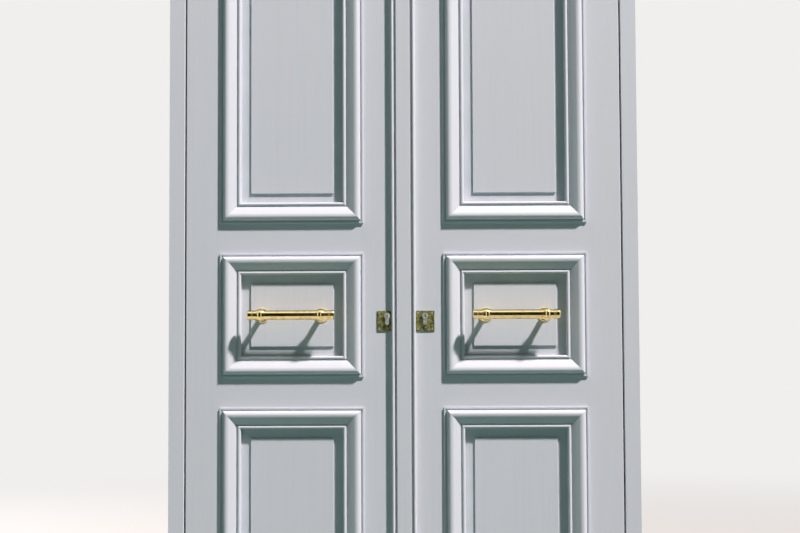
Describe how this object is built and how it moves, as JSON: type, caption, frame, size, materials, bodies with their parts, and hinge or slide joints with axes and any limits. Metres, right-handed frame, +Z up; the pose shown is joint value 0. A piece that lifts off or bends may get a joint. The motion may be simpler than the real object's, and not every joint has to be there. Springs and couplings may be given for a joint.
{
  "type": "panelled double door",
  "caption": "Tall double entrance door of painted timber with raised panels, bold mitred mouldings, brass bar pulls and cylinder locks, hung to open inward in its own rebated frame.",
  "frame": {"origin": "on the threshold's underside, at the middle of the frame's width, in the plane of the frame's street face", "axes": "+X to the right as seen from the street, +Y into the building, +Z up; leaves shut"},
  "size_m": [1.29, 0.1744, 2.447],
  "materials": {
    "painted_timber": "pale blue-grey satin paint",
    "oiled_hardwood": "oiled hardwood",
    "aged_brass": "aged and waxed",
    "nickel_plate": "satin nickel",
    "zinc_steel": "zinc plated"
  },
  "bodies": {
    "frame": {"bolt_keeps": "zinc_steel", "frame_hinge_screws": "zinc_steel", "head": "painted_timber", "hinge_frame_halves": "zinc_steel", "left_jamb": "painted_timber", "right_jamb": "painted_timber", "threshold": "oiled_hardwood"},
    "left_leaf": {"left_astragal": "painted_timber", "left_bottom_rail": "painted_timber", "left_escutcheons": "aged_brass", "left_hinge_leaf_halves": "zinc_steel", "left_hinge_screws": "zinc_steel", "left_hinge_stile": "painted_timber", "left_inside_mouldings": "painted_timber", "left_lock_case": "zinc_steel", "left_lock_cylinder": "nickel_plate", "left_lock_screws": "zinc_steel", "left_lower_lock_rail": "painted_timber", "left_lower_moulding": "painted_timber", "left_lower_panel": "painted_timber", "left_meeting_stile": "painted_timber", "left_middle_moulding": "painted_timber", "left_middle_panel": "painted_timber", "left_pull_bars": "aged_brass", "left_pull_posts": "aged_brass", "left_pull_studs": "zinc_steel", "left_top_rail": "painted_timber", "left_upper_lock_rail": "painted_timber", "left_upper_moulding": "painted_timber", "left_upper_panel": "painted_timber"},
    "right_leaf": {"right_bottom_rail": "painted_timber", "right_escutcheons": "aged_brass", "right_hinge_leaf_halves": "zinc_steel", "right_hinge_screws": "zinc_steel", "right_hinge_stile": "painted_timber", "right_inside_mouldings": "painted_timber", "right_lock_case": "zinc_steel", "right_lock_cylinder": "nickel_plate", "right_lock_screws": "zinc_steel", "right_lower_lock_rail": "painted_timber", "right_lower_moulding": "painted_timber", "right_lower_panel": "painted_timber", "right_meeting_bead": "painted_timber", "right_meeting_stile": "painted_timber", "right_middle_moulding": "painted_timber", "right_middle_panel": "painted_timber", "right_pull_bars": "aged_brass", "right_pull_posts": "aged_brass", "right_pull_studs": "zinc_steel", "right_strike_plate": "zinc_steel", "right_top_rail": "painted_timber", "right_upper_lock_rail": "painted_timber", "right_upper_moulding": "painted_timber", "right_upper_panel": "painted_timber"},
    "left_key_plug": {"left_key_plug": "nickel_plate"},
    "left_deadbolt": {"left_deadbolt": "zinc_steel"},
    "right_key_plug": {"right_key_plug": "nickel_plate"},
    "right_upper_bolt": {"right_upper_bolt": "zinc_steel"},
    "right_lower_bolt": {"right_lower_bolt": "zinc_steel"}
  },
  "joints": [
    {"name": "left_leaf_swing", "type": "hinge", "parent": "frame", "child": "left_leaf", "pos_m": [-0.611, 0.062, 1.2145], "axis": [0, 0, 1], "range_deg": [0, 100]},
    {"name": "right_leaf_swing", "type": "hinge", "parent": "frame", "child": "right_leaf", "pos_m": [0.611, 0.062, 1.2145], "axis": [0, 0, -1], "range_deg": [0, 100]},
    {"name": "left_key_turn", "type": "hinge", "parent": "left_leaf", "child": "left_key_plug", "pos_m": [-0.04505, 0.027, 1.046], "axis": [0, 1, 0], "range_deg": [0, 360]},
    {"name": "left_deadbolt_slide", "type": "slide", "parent": "left_leaf", "child": "left_deadbolt", "axis": [1, 0, 0], "range_m": [0, 0.014]},
    {"name": "right_key_turn", "type": "hinge", "parent": "right_leaf", "child": "right_key_plug", "pos_m": [0.05907, 0.027, 1.046], "axis": [0, 1, 0], "range_deg": [0, 360]},
    {"name": "right_upper_bolt_slide", "type": "slide", "parent": "right_leaf", "child": "right_upper_bolt", "axis": [0, 0, 1], "range_m": [0, 0.014]},
    {"name": "right_lower_bolt_slide", "type": "slide", "parent": "right_leaf", "child": "right_lower_bolt", "axis": [0, 0, -1], "range_m": [0, 0.014]}
  ],
  "couplings": [
    {"joint": "left_key_turn", "follows": "left_deadbolt_slide", "rad_per_m": 448.79},
    {"joint": "right_key_turn", "follows": "right_upper_bolt_slide", "rad_per_m": 448.79},
    {"joint": "right_lower_bolt_slide", "follows": "right_upper_bolt_slide", "ratio": 1}
  ]
}
